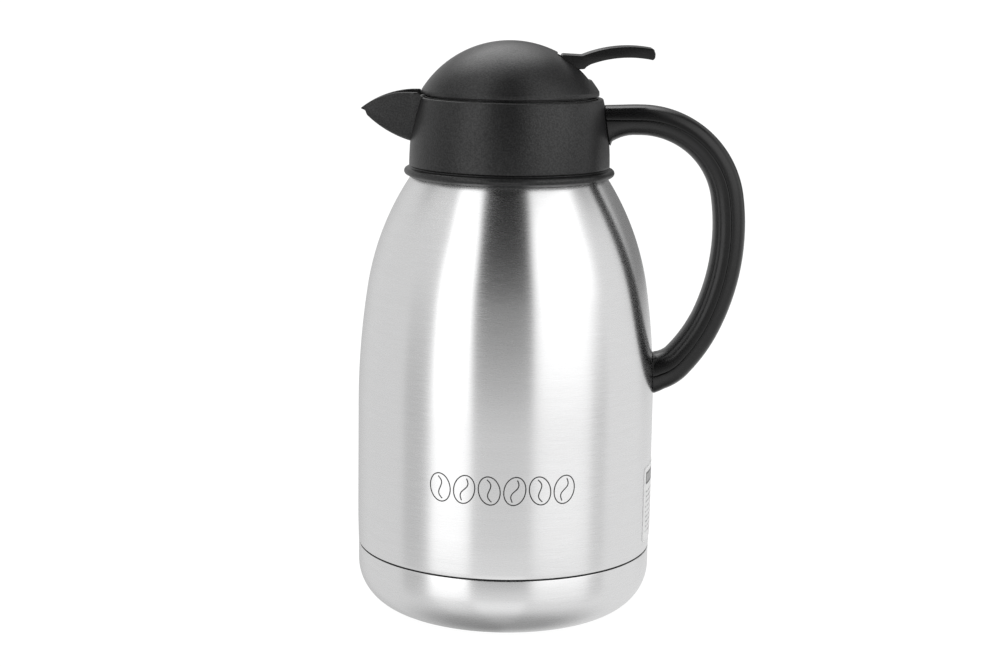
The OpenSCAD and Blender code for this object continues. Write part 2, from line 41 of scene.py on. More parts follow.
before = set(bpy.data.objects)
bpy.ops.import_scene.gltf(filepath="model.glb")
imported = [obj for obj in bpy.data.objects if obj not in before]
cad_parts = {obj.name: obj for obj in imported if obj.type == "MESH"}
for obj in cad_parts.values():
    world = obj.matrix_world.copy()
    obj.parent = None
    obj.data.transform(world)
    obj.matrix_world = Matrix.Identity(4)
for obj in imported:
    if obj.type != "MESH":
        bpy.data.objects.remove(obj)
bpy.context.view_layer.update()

MM = 0.001


# Sizes taken from the frame -----------------------------------------------------------------------

def box_mm(node):
    """A node's lowest and highest corners at rest, in millimetres."""
    low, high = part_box(node)
    return low / MM, high / MM


shell_low, shell_high = box_mm("outer_shell")
ring_low, ring_high = box_mm("neck_ring")
label_low, label_high = box_mm("label")
pin_low, pin_high = box_mm("lever_pin")
stopper_low, stopper_high = box_mm("stopper_body")
spring_low, spring_high = box_mm("valve_spring")

SHEET = 0.6                    # thickness of the outer steel sheet
BODY_R = shell_high.x
SHELL_Z = shell_low.z
MOUTH_Z = shell_high.z
SEAM_Z = box_mm("base_cup")[1].z

# Body outline: foot arc, straight barrel, belly arc, shoulder arc
FOOT_ARC_R, FOOT_ARC_Z = 450, 52
BELLY_ARC_R, BELLY_ARC_Z, BELLY_A = 400, 105, 8.63
SHOULDER_ARC_R, SHOULDER_A = 138, 36
BELLY_X = BODY_R - BELLY_ARC_R
SHOULDER_X = BELLY_X + (BELLY_ARC_R - SHOULDER_ARC_R) * cos(radians(BELLY_A))
SHOULDER_Z = BELLY_ARC_Z + (BELLY_ARC_R - SHOULDER_ARC_R) * sin(radians(BELLY_A))
SHOULDER_FOOT_Z = 228.2
NECK_R = 38.5
BEAD_Z, BEAD_R = 233.5, 1.1

CUP_CORNER_R = 23
FOOT_FLAT_R, FOOT_INNER_R, FOOT_RECESS = 51.6, 44, 2.2

# Collar
COLLAR_R, COLLAR_ARC_R = 50.2, 150
COLLAR_Z, COLLAR_TOP = 225.8, 260
BORE_R = 43.5
LEDGE_R, LEDGE_Z, LEDGE_TOP = 39.2, 240.5, 243
# opposite corners of the tongue inside the handle's root, and of the window into the spout
TONGUE = ((46, -6.5, 247.3), (63.5, 6.5, 252.3))
WINDOW = ((-49, -9, 246.5), (-42, 9, 255.5))

# Spout
SPOUT_TIP = -box_mm("collar")[0].x
SPOUT_ROOT_X, SPOUT_NOSE_X = -41, -66
RIM_Z, RIM_ARC_R, RIM_ARC_X = 262.5, 40.4, -49
SPOUT_WALL = 1.8

# Stopper thread
THREAD_LEAD, THREAD_STARTS, THREAD_Z, RIDGE_HALF_A = 18, 3, 249.35, 35

# Dome and lever
DOME_R, DOME_Z, DOME_WALL = 52, 236, 2.2
DOME_RIM_R, DOME_RIM_Z, DOME_EDGE_Z = 44.3, 261.2, 263.4
SLOT_HALF, SLOT_X, SLOT_END, SLOT_STEP_Z = 10.4, 23, 38.6, 268.9
WELL_Z = 262.8
PIVOT_X, PIVOT_Z = (pin_low.x + pin_high.x) / 2, (pin_low.z + pin_high.z) / 2
PIN_R = (pin_high.x - pin_low.x) / 2
LEVER_HALF = box_mm("lever")[1].y
LEVER_ARC_X, LEVER_ARC_Z, LEVER_ARC_R = 59, 224.1, 62
LEVER_THICK = 5.4
FORK_Z = 266.5

# Handle
HANDLE_X, HANDLE_Z, HANDLE_RUN = 48, 249.4, 17.5
# radius, degrees turned, and the extra depth of the section at the end of each arc
HANDLE_ARCS = ((44.3, 80.9, 0), (110.1, 33.1, 0), (78, 19, 0.5), (20, 30, 1.5))
# how much thinner the level run is, where the root's flare starts and ends, how far it flares on
# the finger side and how fast the back tapers there
HANDLE_SLIM, FLARE_X, ROOT_X, FLARE, BACK_TAPER = 0.5, 62, 51, 3.4, 0.04
HANDLE_FOOT_Z, HANDLE_FOOT_HALF, HANDLE_TAB_Z = 121.6, 10, 120.5
HANDLE_HALF, HANDLE_SPLIT, HANDLE_POWER = 7.75, 0.6, 2.6
HANDLE_WALL = 2.4
# each handle moulding has one screw: where it is, its head's hole and its shank's hole
SCREW_HEAD_R, SCREW_SHANK_R = 3.2, 1.7
GRIP_SCREW_X, GRIP_HEAD_Z, GRIP_SHANK_Z = 56, 243, (240, 247)
COVER_SCREW_X, COVER_HEAD_Z, COVER_SHANK_Z, BOSS_R, BOSS_Z = 79, 115.1, (105, 123.5), 3.8, 114.6

# Snap hooks of the dome and their slots in the stopper: the middle of each, in degrees
HOOKS_A = (60, 180, 300)
HOOK_HALF_A, HOOK_SLOT_HALF_A = 12, 14


# Outlines: lists of (radius or x, height) points --------------------------------------------------

def arc(x, z, r, start, end, steps):
    """Points of an arc, from one angle to another in degrees, steps + 1 of them."""
    angles = [radians(start + (end - start) * i / steps) for i in range(steps + 1)]
    return [(x + r * cos(a), z + r * sin(a)) for a in angles]


def spread(start, end, steps):
    """steps + 1 values from start to end."""
    return [start + (end - start) * i / steps for i in range(steps + 1)]


def soften(outline, radius, steps=4, corner=25):
    """The closed outline with every corner that turns more than `corner` degrees rounded off."""
    result = []
    for i, point in enumerate(outline):
        here = Vector(point)
        u, v = Vector(outline[i - 1]) - here, Vector(outline[(i + 1) % len(outline)]) - here
        turn = pi - u.angle(v)
        if turn < radians(corner) or here.x == 0:
            result.append(tuple(here))
            continue
        reach = min(radius * tan(min(turn, 2.8) / 2), 0.45 * u.length, 0.45 * v.length)
        first, last = here + u.normalized() * reach, here + v.normalized() * reach
        for t in spread(0, 1, steps):
            result.append(tuple(first.lerp(here, t).lerp(here.lerp(last, t), t)))
    return result


def body_r_at(z):
    """Radius of the foot, barrel and belly at a height."""
    if z < FOOT_ARC_Z:
        return BODY_R - FOOT_ARC_R + sqrt(FOOT_ARC_R ** 2 - (FOOT_ARC_Z - z) ** 2)
    if z < BELLY_ARC_Z:
        return BODY_R
    return BELLY_X + sqrt(BELLY_ARC_R ** 2 - (z - BELLY_ARC_Z) ** 2)


def shoulder_r_at(z):
    """Radius of the shoulder at a height."""
    return SHOULDER_X + sqrt(SHOULDER_ARC_R ** 2 - (z - SHOULDER_Z) ** 2)


def collar_r_at(z):
    """Radius of the collar at a height."""
    return COLLAR_R - COLLAR_ARC_R + sqrt(COLLAR_ARC_R ** 2 - (z - COLLAR_Z) ** 2)


def body_skin(inset):
    """Body outline from the seam to the foot of the neck, pushed inwards."""
    low_angle = -asin((FOOT_ARC_Z - SHELL_Z) / FOOT_ARC_R) * 180 / pi
    return (
        arc(BODY_R - FOOT_ARC_R, FOOT_ARC_Z, FOOT_ARC_R - inset, low_angle, 0, 8)
        + [(BODY_R - inset, z) for z in spread(FOOT_ARC_Z, BELLY_ARC_Z, 12)[1:]]
        + arc(BELLY_X, BELLY_ARC_Z, BELLY_ARC_R - inset, 0, BELLY_A, 16)[1:]
        + arc(SHOULDER_X, SHOULDER_Z, SHOULDER_ARC_R - inset, BELLY_A, SHOULDER_A, 30)[1:]
    )


def cup_skin(inset):
    """Base cup outline from the foot ring to the seam, pushed inwards."""
    side_r = body_r_at(SEAM_Z)
    return (
        [(FOOT_INNER_R, inset), (FOOT_FLAT_R, inset)]
        + arc(side_r - CUP_CORNER_R, CUP_CORNER_R, CUP_CORNER_R - inset, -88, 0, 24)
        + [(side_r - inset, SEAM_Z)]
    )


# Meshes -------------------------------------------------------------------------------------------

def mesh_object(name, points, faces):
    """A closed mesh from points in millimetres."""
    mesh = bpy.data.meshes.new(name)
    mesh.from_pydata([Vector(p) * MM for p in points], [], faces)
    shape = bmesh.new()
    shape.from_mesh(mesh)
    bmesh.ops.remove_doubles(shape, verts=shape.verts, dist=1e-7)
    bmesh.ops.recalc_face_normals(shape, faces=shape.faces)
    shape.to_mesh(mesh)
    shape.free()
    piece = bpy.data.objects.new(name, mesh)
    bpy.context.scene.collection.objects.link(piece)
    return piece


def loft(name, rings, wrap=False):
    """A skin over rings of points, capped at both ends unless it wraps round."""
    count, size = len(rings), len(rings[0])
    corners = ((0, 0), (0, 1), (1, 1), (1, 0))
    faces = [
        tuple((i + di) % count * size + (j + dj) % size for di, dj in corners)
        for i in range(count if wrap else count - 1)
        for j in range(size)
    ]
    if not wrap:
        faces += [tuple(range(size)), tuple(range((count - 1) * size, count * size))]
    return mesh_object(name, [point for ring in rings for point in ring], faces)


def turned(outline, angle):
    """An outline of (radius, height) points stood up at an angle round the Z axis."""
    return [(r * cos(angle), r * sin(angle), z) for r, z in outline]


def lathe(name, outline, steps=256):
    """A closed outline of (radius, height) points turned about the Z axis."""
    return loft(name, [turned(outline, 2 * pi * i / steps) for i in range(steps)], wrap=True)


def lathe_sector(name, outline, start, end, steps=24):
    """The same, between two angles in degrees."""
    return loft(name, [turned(outline, radians(a)) for a in spread(start, end, steps)])


def block(name, low, high):
    """A block between two corners, used as a tool for joining and cutting."""
    (x0, y0, z0), (x1, y1, z1) = low, high
    return loft(name, [[(x, y0, z0), (x, y1, z0), (x, y1, z1), (x, y0, z1)] for x in (x0, x1)])


def rod(name, start, end, radius, steps=48):
    """A straight round bar between two points."""
    start, end = Vector(start), Vector(end)
    turn = (end - start).to_track_quat("Z", "Y")
    rings = []
    for middle in (start, end):
        rings.append([middle + turn @ Vector((radius * cos(a), radius * sin(a), 0))
                      for a in spread(0, 2 * pi, steps)[:-1]])
    return loft(name, rings)


def inset_outline(outline, distance):
    """The closed outline moved towards its inside, whichever way its points run."""
    count = len(outline)
    area = sum(outline[i - 1][0] * z - x * outline[i - 1][1] for i, (x, z) in enumerate(outline))
    side = 1 if area > 0 else -1
    result = []
    for i in range(count):
        along = Vector(outline[(i + 1) % count]) - Vector(outline[i - 1])
        inward = Vector((-along.y, along.x)).normalized() * side
        result.append(tuple(Vector(outline[i]) + inward * distance))
    return result


def plate(name, outline, half_width, edge):
    """An (x, z) outline given a width along Y, with its two rims rounded by `edge`."""
    rims = [(edge * (1 - sin(a)), half_width - edge * (1 - cos(a))) for a in spread(0, pi / 2, 4)]
    layers = [(inset, -y) for inset, y in rims] + [(inset, y) for inset, y in reversed(rims)]
    rings = [[(x, y, z) for x, z in inset_outline(outline, inset)] for inset, y in layers]
    return loft(name, rings)


def combine(piece, tool, operation):
    """Applies the tool to the piece as one Boolean step, and removes the tool."""
    step = piece.modifiers.new("combine", "BOOLEAN")
    step.operation = operation
    step.solver = "EXACT"
    step.object = tool
    bpy.context.view_layer.update()
    evaluated = piece.evaluated_get(bpy.context.evaluated_depsgraph_get())
    result = bpy.data.meshes.new_from_object(evaluated)
    piece.modifiers.clear()
    piece.data = result
    bpy.data.objects.remove(tool)


def join(piece, tool):
    """Adds the tool to the piece."""
    combine(piece, tool, "UNION")


def cut(piece, tool):
    """Cuts the tool out of the piece."""
    combine(piece, tool, "DIFFERENCE")


def keep_inside(piece, tool):
    """Keeps only what lies inside the tool."""
    combine(piece, tool, "INTERSECT")


def place(piece, material, body, slot, *nodes, sharp=35):
    """Shades a piece, gives it a material and a body, and hides the nodes it replaces; the slot is
    not used.
    """
    piece.data.shade_smooth()
    piece.data.set_sharp_from_angle(angle=radians(sharp))
    piece.data.materials.clear()
    piece.data.materials.append(material)
    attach(piece, body)
    if nodes:
        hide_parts(*nodes)
    return piece


# Node helpers -------------------------------------------------------------------------------------

def feed(tree, node, inputs):
    """Links or sets a node's inputs."""
    for key, value in inputs.items():
        if isinstance(value, bpy.types.NodeSocket):
            tree.links.new(value, node.inputs[key])
        else:
            node.inputs[key].default_value = value


def add_node(tree, kind, inputs=None, **settings):
    """A node with its settings made and its inputs set or linked."""
    node = tree.nodes.new(kind)
    for key, value in settings.items():
        setattr(node, key, value)
    feed(tree, node, inputs or {})
    return node


def calc(tree, operation, *values):
    """One step of arithmetic."""
    node = add_node(tree, "ShaderNodeMath", dict(enumerate(values)), operation=operation)
    return node.outputs[0]


def product(tree, first, *others):
    """All the values multiplied together."""
    for value in others:
        first = calc(tree, "MULTIPLY", first, value)
    return first


def total(tree, first, *others):
    """All the values added together."""
    for value in others:
        first = calc(tree, "ADD", first, value)
    return first


def mix(tree, share, first, second):
    """From the first value to the second as the share goes from 0 to 1."""
    return add_node(tree, "ShaderNodeMix", {0: share, 2: first, 3: second}).outputs[0]


def ramp(tree, value, start, end, low=0.0, high=1.0):
    """Smooth change from low to high while value goes from start to end."""
    return add_node(tree, "ShaderNodeMapRange", {
        "Value": value, "From Min": start, "From Max": end, "To Min": low, "To Max": high,
    }, interpolation_type="SMOOTHSTEP").outputs[0]


def band(tree, value, start, end, soft):
    """1 between start and end, falling to 0 over a width of soft at either side."""
    rise = ramp(tree, value, start - soft / 2, start + soft / 2)
    fall = ramp(tree, value, end - soft / 2, end + soft / 2, 1.0, 0.0)
    return calc(tree, "MULTIPLY", rise, fall)


def new_material(name):
    """A material with a plain surface node, its node tree and that node."""
    material = bpy.data.materials.new(name)
    material.use_nodes = True
    tree = material.node_tree
    tree.nodes.clear()
    surface = add_node(tree, "ShaderNodeBsdfPrincipled")
    output = add_node(tree, "ShaderNodeOutputMaterial")
    tree.links.new(surface.outputs[0], output.inputs["Surface"])
    return material, tree, surface


def object_spot(tree):
    """The point being shaded, in the object's own metres."""
    return add_node(tree, "ShaderNodeTexCoord").outputs["Object"]


def grey(tree, value, blue=1.0):
    """A grey colour, its blue part scaled."""
    parts = {0: value, 1: value, 2: calc(tree, "MULTIPLY", value, blue)}
    return add_node(tree, "ShaderNodeCombineColor", parts).outputs[0]


def bump(tree, height, distance_mm, strength=1.0):
    """A bumped normal."""
    return add_node(tree, "ShaderNodeBump", {
        "Height": height, "Distance": distance_mm * MM, "Strength": strength,
    }).outputs[0]


def noise(tree, vector, scale, detail=3.0, rough=0.55):
    """Noise from 0 to 1."""
    return add_node(tree, "ShaderNodeTexNoise", {
        "Vector": vector, "Scale": scale, "Detail": detail, "Roughness": rough,
    }).outputs["Fac"]


def vary(tree, value, middle, swing):
    """A value spread about its middle by a noise."""
    return ramp(tree, value, 0.3, 0.7, middle - swing, middle + swing)


# Materials ----------------------------------------------------------------------------------------

def round_coordinates(tree, around, along):
    """Coordinates that run round the Z axis and up it, for marks left by a turning tool."""
    x, y, z = add_node(tree, "ShaderNodeSeparateXYZ", {0: object_spot(tree)}).outputs
    length = calc(tree, "SQRT", total(tree, product(tree, x, x), product(tree, y, y)))
    inverse = calc(tree, "DIVIDE", around, calc(tree, "MAXIMUM", length, 1e-4))
    return add_node(tree, "ShaderNodeCombineXYZ", {
        0: product(tree, x, inverse), 1: product(tree, y, inverse), 2: product(tree, z, along),
    }).outputs[0]


def brushed_steel(name, tone, roughness, stretch):
    """Steel brushed round the axis: highlights spread up and down, with fine level streaks."""
    material, tree, surface = new_material(name)
    fine = noise(tree, round_coordinates(tree, 9.0, 4200.0), 1.0, 4.0)
    broad = noise(tree, round_coordinates(tree, 1.5, 420.0), 1.0, 2.0)
    value = total(tree, vary(tree, fine, 0.0, 0.022), vary(tree, broad, 0.0, 0.008), tone)
    tangent = add_node(tree, "ShaderNodeTangent", direction_type="RADIAL", axis="Z")
    feed(tree, surface, {
        "Base Color": grey(tree, value, 1.004),
        "Roughness": vary(tree, fine, roughness, 0.02),
        "Metallic": 1.0,
        "Anisotropic": stretch,
        "Anisotropic Rotation": 0.25,
        "Tangent": tangent.outputs[0],
        "Normal": bump(tree, fine, 0.002, 0.08),
    })
    return material


def moulded_plastic(name, tone, roughness, grain_size, grain_depth):
    """Moulded plastic with a spark-eroded grain, its glints and a slightly uneven sheen."""
    material, tree, surface = new_material(name)
    spot = object_spot(tree)
    grain = noise(tree, spot, 1.0 / (grain_size * MM), 2.0)
    cloud = noise(tree, spot, 60.0, 2.0)
    value = product(tree, ramp(tree, grain, 0.25, 0.75, 0.88, 1.12), tone)
    feed(tree, surface, {
        "Base Color": grey(tree, value, 1.03),
        "Roughness": vary(tree, cloud, roughness, 0.03),
        "Specular IOR Level": vary(tree, grain, 0.5, 1.3 * grain_depth),
        "Normal": bump(tree, grain, grain_depth),
    })
    return material


def plain_metal(name, tone, roughness):
    """Bright or dull metal with small scratches."""
    material, tree, surface = new_material(name)
    scratch = noise(tree, object_spot(tree), 1800.0, 3.0)
    feed(tree, surface, {
        "Base Color": grey(tree, vary(tree, scratch, tone, 0.03)),
        "Roughness": vary(tree, scratch, roughness, 0.04),
        "Metallic": 1.0,
        "Normal": bump(tree, scratch, 0.003, 0.3),
    })
    return material


def silicone_rubber(name):
    """Pale, slightly see-through rubber."""
    material, tree, surface = new_material(name)
    cloud = noise(tree, object_spot(tree), 180.0, 3.0)
    feed(tree, surface, {
        "Base Color": grey(tree, ramp(tree, cloud, 0.2, 0.8, 0.66, 0.76), 0.96),
        "Roughness": 0.42,
        "Subsurface Weight": 0.2,
        "Subsurface Radius": (0.004, 0.004, 0.0035),
        "Normal": bump(tree, cloud, 0.02),
    })
    return material


def label_film(name):
    """White film with a framed grey box near its top and rows of grey bars, no lettering."""
    material, tree, surface = new_material(name)
    middle_z = (label_low.z + label_high.z) / 2
    height = label_high.z - label_low.z
    half_width = (label_high.y - label_low.y) / 2
    spot = object_spot(tree)
    x, y, z = add_node(tree, "ShaderNodeSeparateXYZ", {0: spot}).outputs
    across = product(tree, calc(tree, "ARCTAN2", y, x), BODY_R)
    up = product(tree, calc(tree, "SUBTRACT", z, middle_z * MM), 1 / MM)

    def area(bottom, top, left, right):
        """1 inside a rectangle of the film."""
        sides = band(tree, across, -half_width + left, half_width - right, 0.1)
        return product(tree, band(tree, up, bottom, top, 0.1), sides)

    # rows of bars in the lower two thirds, broken into short lengths by a coarse noise
    row_pitch = 2.6
    bars = ramp(tree, calc(tree, "PINGPONG", up, row_pitch / 2), 0.75, 0.9)
    lengths = add_node(tree, "ShaderNodeCombineXYZ", {
        0: product(tree, across, 0.55),
        1: calc(tree, "FLOOR", calc(tree, "DIVIDE", up, row_pitch)),
    }).outputs[0]
    broken = ramp(tree, noise(tree, lengths, 1.7, 1.0), 0.42, 0.48)
    bar_ink = product(tree, bars, broken, area(-height * 0.42, height * 0.2, 3, 3), 0.55)
    # a framed box near the top
    box_low, box_high, line = height * 0.27, height * 0.43, 1.0
    outer = area(box_low, box_high, 2.6, 8)
    inner = area(box_low + line, box_high - line, 2.6 + line, 8 + line)
    box_ink = calc(tree, "SUBTRACT", product(tree, outer, 0.85), product(tree, inner, 0.3))
    ink = calc(tree, "MAXIMUM", bar_ink, box_ink)
    feed(tree, surface, {
        "Base Color": grey(tree, ramp(tree, ink, 0.0, 1.0, 0.97, 0.05)),
        "Roughness": 0.45,
        "Normal": bump(tree, noise(tree, spot, 900.0), 0.004),
    })
    return material


body_steel = brushed_steel("body_steel", 0.93, 0.26, 0.8)
inner_steel = brushed_steel("inner_steel", 0.82, 0.3, 0.5)
fastener_steel = plain_metal("fastener_steel", 0.7, 0.25)
getter_metal = plain_metal("getter_metal", 0.45, 0.5)
seal_solder = moulded_plastic("seal_solder", 0.35, 0.4, 0.8, 0.02)
matte_black = moulded_plastic("matte_black", 0.012, 0.34, 0.8, 0.09)
satin_black = moulded_plastic("satin_black", 0.006, 0.25, 0.6, 0.02)
pale_plastic = moulded_plastic("pale_plastic", 0.5, 0.4, 0.5, 0.006)
silicone = silicone_rubber("silicone")
label_paper = label_film("label_paper")
etched_line = plain_metal("etched_line", 0.07, 0.6)
# near-black steel for the flange behind the body's seam: painted shade in the seam's gap
seam_painted_shade = plain_metal("seam_painted_shade", 0.05, 0.7)


# Flask --------------------------------------------------------------------------------------------

def make_body_shell():
    """The drawn steel shell from the seam to the mouth, with its neck bead and rolled lip."""
    inner_r, lip = NECK_R - SHEET, 1.0
    outline = (
        body_skin(0)
        + [(NECK_R + 0.5, SHOULDER_FOOT_Z), (NECK_R, SHOULDER_FOOT_Z + 0.5)]
        + arc(NECK_R, BEAD_Z, BEAD_R, -80, 80, 12)
        + [(NECK_R, MOUTH_Z), (inner_r - lip, MOUTH_Z), (inner_r - lip, MOUTH_Z - SHEET)]
        + [(inner_r, MOUTH_Z - SHEET), (inner_r, SHOULDER_FOOT_Z - SHEET)]
        + body_skin(SHEET)[::-1]
    )
    return lathe("body_shell", soften(outline, 0.25, 3), 320)


def make_base_cup():
    """The steel cup below the seam, with its recessed bottom."""
    recess_r = FOOT_INNER_R - FOOT_RECESS
    outline = (
        [(0, FOOT_RECESS), (recess_r, FOOT_RECESS)]
        + cup_skin(0)
        + cup_skin(SHEET)[::-1]
        + [(recess_r, FOOT_RECESS + SHEET), (0, FOOT_RECESS + SHEET)]
    )
    return lathe("base_cup_skin", soften(outline, 0.3, 3, 15), 320)


def make_neck_band():
    """The plastic ring under the collar, with its round bead."""
    bead_x, bead_z, bead_r = 50.9, 222.9, 1.8
    low_z = ring_low.z
    outline = (
        [(shoulder_r_at(z) + 0.05, z) for z in spread(low_z, COLLAR_Z - 0.6, 8)]
        + [(46.3, ring_high.z), (49.6, ring_high.z), (50.2, 225)]
        + arc(bead_x, bead_z, bead_r, 80, -60, 16)
        + [(49.7, low_z)]
    )
    return lathe("neck_band", soften(outline, 0.3, 4), 256)


# Collar with spout --------------------------------------------------------------------------------

def rim_z(x):
    """Height of the spout's rim."""
    if x > RIM_ARC_X:
        return RIM_Z
    return RIM_Z - RIM_ARC_R + sqrt(RIM_ARC_R ** 2 - (x - RIM_ARC_X) ** 2)


def keel_z(x):
    """Height of the spout's underside: a long arc, a short steep nose, then the thin lip."""
    keel_r, start, start_x, start_z = 52, radians(16), -50, 237.7
    nose, lip_thick, lip_slope = 3.3, 0.3, 1.2
    t = max(0.0, start_x - x)
    steep = max(0.0, nose - SPOUT_TIP - x) ** 2
    keel = start_z + keel_r * (cos(start) - sqrt(1 - (sin(start) + t / keel_r) ** 2)) + steep
    return min(keel, rim_z(x) - lip_thick - lip_slope * (x + SPOUT_TIP)) if steep > 0 else keel


def spout_half(x):
    """Half width of the spout."""
    widest, tip_half, growth, length, power = 15.0, 0.8, 14, 26, 1.2
    return min(widest, tip_half + growth * (max(0.0, x + SPOUT_TIP) / length) ** power)


def spout_wall(half, low, top, steps):
    """One wall of the U-shaped section, from its -Y rim down round the keel and up."""
    steepness = 3.57
    points = []
    for j in range(-steps, steps + 1):
        q = 1 - (1 - abs(j) / steps) ** 2
        side = 1 if j > 0 else -1
        points.append((side * q * half, low + (top - low) * q ** steepness))
    return points


def spout_section(x, steps=16):
    """Closed U-shaped section of the spout with rounded rims."""
    top, low, half = rim_z(x), keel_z(x), spout_half(x)
    inner_half = max(0.3 * half, half - SPOUT_WALL)
    inner_low = min(low + SPOUT_WALL, top - 0.3)
    edge = min(0.55, (half - inner_half) / 2, (top - inner_low) / 2)
    middle, reach = (half + inner_half) / 2, (half - inner_half) / 2
    rim = [(middle + reach * cos(a), top - edge + edge * sin(a)) for a in spread(0, pi, 6)[1:-1]]
    outer = spout_wall(half, low, top - edge, steps)
    inner = spout_wall(inner_half, inner_low, top - edge, steps)
    section = outer + rim + inner[::-1] + [(-y, z) for y, z in rim[::-1]]
    return [(x, y, z) for y, z in section]


def thread_ridges(root_r, tip_r, middle_z):
    """One ridge per thread start, as separate tools, lower and tapered at its two ends."""
    root_half, tip_half, taper_a, end_share = 1.6, 1.0, 6, 0.4
    ridges = []
    for start in range(THREAD_STARTS):
        rings = []
        for a in spread(-RIDGE_HALF_A, RIDGE_HALF_A, 28):
            taper = min(1.0, (RIDGE_HALF_A - abs(a)) / taper_a)
            r = root_r + (tip_r - root_r) * (end_share + (1 - end_share) * taper)
            z = middle_z + THREAD_LEAD * a / 360
            section = [
                (root_r, z - root_half), (r, z - tip_half),
                (r, z + tip_half), (root_r, z + root_half),
            ]
            rings.append(turned(section, radians(a + start * 360 / THREAD_STARTS)))
        ridges.append(loft("ridge", rings))
    return ridges


def make_collar():
    """The collar with its spout, thread ridges, stopper ledge and the window into the spout."""
    top_fillet, edge = 1.2, 0.5
    leg_out, leg_in, leg_top, snap_r = 43.6, BORE_R - 2, 240.8, NECK_R + 0.4
    fillet_z, foot_r = COLLAR_TOP - top_fillet, 46.4
    outline = (
        [(foot_r, COLLAR_Z)]
        + [(collar_r_at(z), z) for z in spread(COLLAR_Z, fillet_z, 24)]
        + arc(collar_r_at(fillet_z) - top_fillet, fillet_z, top_fillet, 10, 90, 7)
        + [(BORE_R + edge, COLLAR_TOP), (BORE_R, COLLAR_TOP - edge), (BORE_R, LEDGE_TOP)]
        + [(LEDGE_R, LEDGE_TOP), (LEDGE_R, LEDGE_Z), (leg_in, LEDGE_Z), (leg_in, 232)]
        + [(snap_r, 231.6), (snap_r, 229.6), (leg_out, 228.8), (leg_out, leg_top)]
        + [(foot_r, leg_top)]
    )
    collar = lathe("collar_shell", soften(outline, 0.35, 3), 256)
    root = spread(SPOUT_ROOT_X, SPOUT_NOSE_X, 20)
    nose = spread(SPOUT_NOSE_X - 1, 0.05 - SPOUT_TIP, 14)
    spout = loft("spout", [spout_section(x) for x in root + nose])
    # room for the stopper and, above the collar, for the dome
    cut(spout, lathe("spout_clearance", [
        (0, 230), (BORE_R + 1, 230), (BORE_R + 1, COLLAR_TOP), (45.7, COLLAR_TOP), (48.6, 263.1),
        (48.6, 270), (0, 270),
    ]))
    join(collar, spout)
    join(collar, block("tongue", *TONGUE))
    ridge_z = THREAD_Z + THREAD_LEAD / THREAD_STARTS / 2
    for ridge in thread_ridges(BORE_R + 0.6, BORE_R - 1.9, ridge_z):
        join(collar, ridge)
    cut(collar, block("window", *WINDOW))
    return collar


# Handle -------------------------------------------------------------------------------------------

def handle_stations():
    """Places along the handle: x, z, heading in degrees, finger-side depth, back depth."""
    level = HANDLE_HALF - HANDLE_SLIM
    stations = []
    for x in [HANDLE_X] + spread(ROOT_X, HANDLE_X + HANDLE_RUN, 7):
        near = max(0.0, FLARE_X - x)
        flare = FLARE * (near / (FLARE_X - ROOT_X)) ** 2
        stations.append((x, HANDLE_Z, 0, level + HANDLE_SPLIT + flare, level - BACK_TAPER * near))
    x, z, heading, extra = HANDLE_X + HANDLE_RUN, HANDLE_Z, 0, -HANDLE_SLIM
    for radius, turn, next_extra in HANDLE_ARCS:
        start = radians(heading)
        for t in spread(0, 1, max(6, round(turn / 2.2)))[1:]:
            a, depth = radians(heading + turn * t), HANDLE_HALF + extra * (1 - t) + next_extra * t
            here = (x + radius * (sin(a) - sin(start)), z + radius * (cos(a) - cos(start)))
            stations.append((*here, heading + turn * t, depth + HANDLE_SPLIT, depth))
        x, z, heading, extra = stations[-1][0], stations[-1][1], heading + turn, next_extra
    foot, lean = HANDLE_FOOT_HALF, 0.1
    depth = (HANDLE_HALF + extra + foot) / 2
    here = ((x + BODY_R) / 2, (z + HANDLE_FOOT_Z) / 2 - lean)
    stations.append((*here, (heading + 180) / 2, depth + HANDLE_SPLIT, depth))
    stations.append((BODY_R, HANDLE_FOOT_Z, 180, foot + HANDLE_SPLIT, foot))
    return stations


def half_section(depth, half_width, steps):
    """Half of a rounded section: (across, depth) points, from one side to the other."""
    power = 2 / HANDLE_POWER
    points = []
    for a in spread(-pi / 2, pi / 2, 2 * steps):
        side = 1 if a > 0 else -1
        points.append((side * half_width * abs(sin(a)) ** power, depth * abs(cos(a)) ** power))
    return points


def handle_half(name, side, half_width):
    """Half of the handle as a swept channel: side -1 is the finger side and 1 the back."""
    def ring(station, shrink=0.0):
        """The channel's section at a station, its outer skin pulled in by shrink."""
        x, z, heading, finger, back = station
        depth = finger if side < 0 else back
        outer = half_section(depth - shrink, half_width - shrink, 16)
        inner = half_section(depth - HANDLE_WALL, half_width - HANDLE_WALL, 16)
        across, up = sin(radians(heading)), cos(radians(heading))
        return [(x + (HANDLE_SPLIT + side * out) * across, y, z + (HANDLE_SPLIT + side * out) * up)
                for y, out in soften(outer + inner[::-1], 0.8, 4, 50)]

    def seated(station, radius_at, shrink, gap):
        """The ring moved along X until it follows the collar or the body."""
        return [(sqrt((radius_at(z) + gap) ** 2 - y * y), y, z)
                for _, y, z in ring(station, shrink)]

    stations = handle_stations()
    # the two ends are rounded: how far the skin is pulled in, and the gap to the collar or body
    edges = ((0.6, 0.04), (0.25, 0.14), (0.07, 0.32), (0.0, 0.6))
    rings = [seated(stations[0], collar_r_at, shrink, gap) for shrink, gap in edges]
    rings += [ring(station) for station in stations[1:-1]]
    rings += [seated(stations[-1], body_r_at, shrink, gap) for shrink, gap in reversed(edges)]
    return loft(name, rings)


def drill(piece, name, x, z_range, radius):
    """Cuts an upright round hole in the handle's middle plane."""
    cut(piece, rod(name, *((x, 0, z) for z in z_range), radius))


